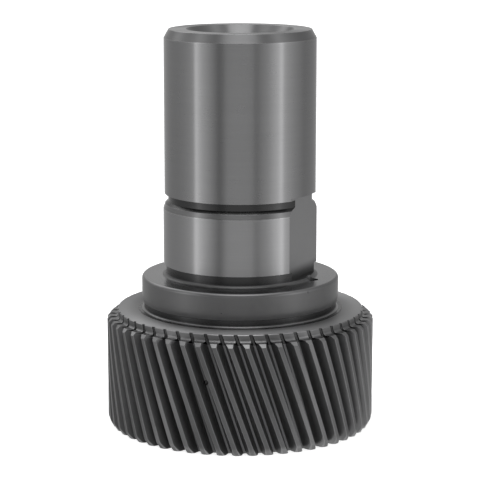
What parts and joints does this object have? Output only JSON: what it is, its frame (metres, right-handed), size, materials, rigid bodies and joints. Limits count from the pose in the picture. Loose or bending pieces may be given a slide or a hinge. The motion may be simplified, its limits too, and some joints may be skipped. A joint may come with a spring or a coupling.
{
  "type": "transfer case input shaft",
  "caption": "Hollow stepped steel shaft with a ground bearing journal, a ring groove, a shoulder collar, an input spline bore and an integral left-hand helical gear.",
  "frame": {"origin": "centre of the gear's lower end face, on the shaft's axis", "axes": "+Z along the shaft's axis, from the gear end towards the input end; -Y towards the side that the picture shows; the oil flat faces 65 degrees round from -Y towards +X"},
  "size_m": [0.0873, 0.0872, 0.129],
  "materials": {
    "steel": "hardened gear steel: journal and barrel ground bright, with fine grain round the shaft; chamfers, groove, undercut, collar and tooth flanks darker, with a light oil sheen"
  },
  "bodies": {
    "root": {"input_shaft": "steel"}
  },
  "joints": []
}
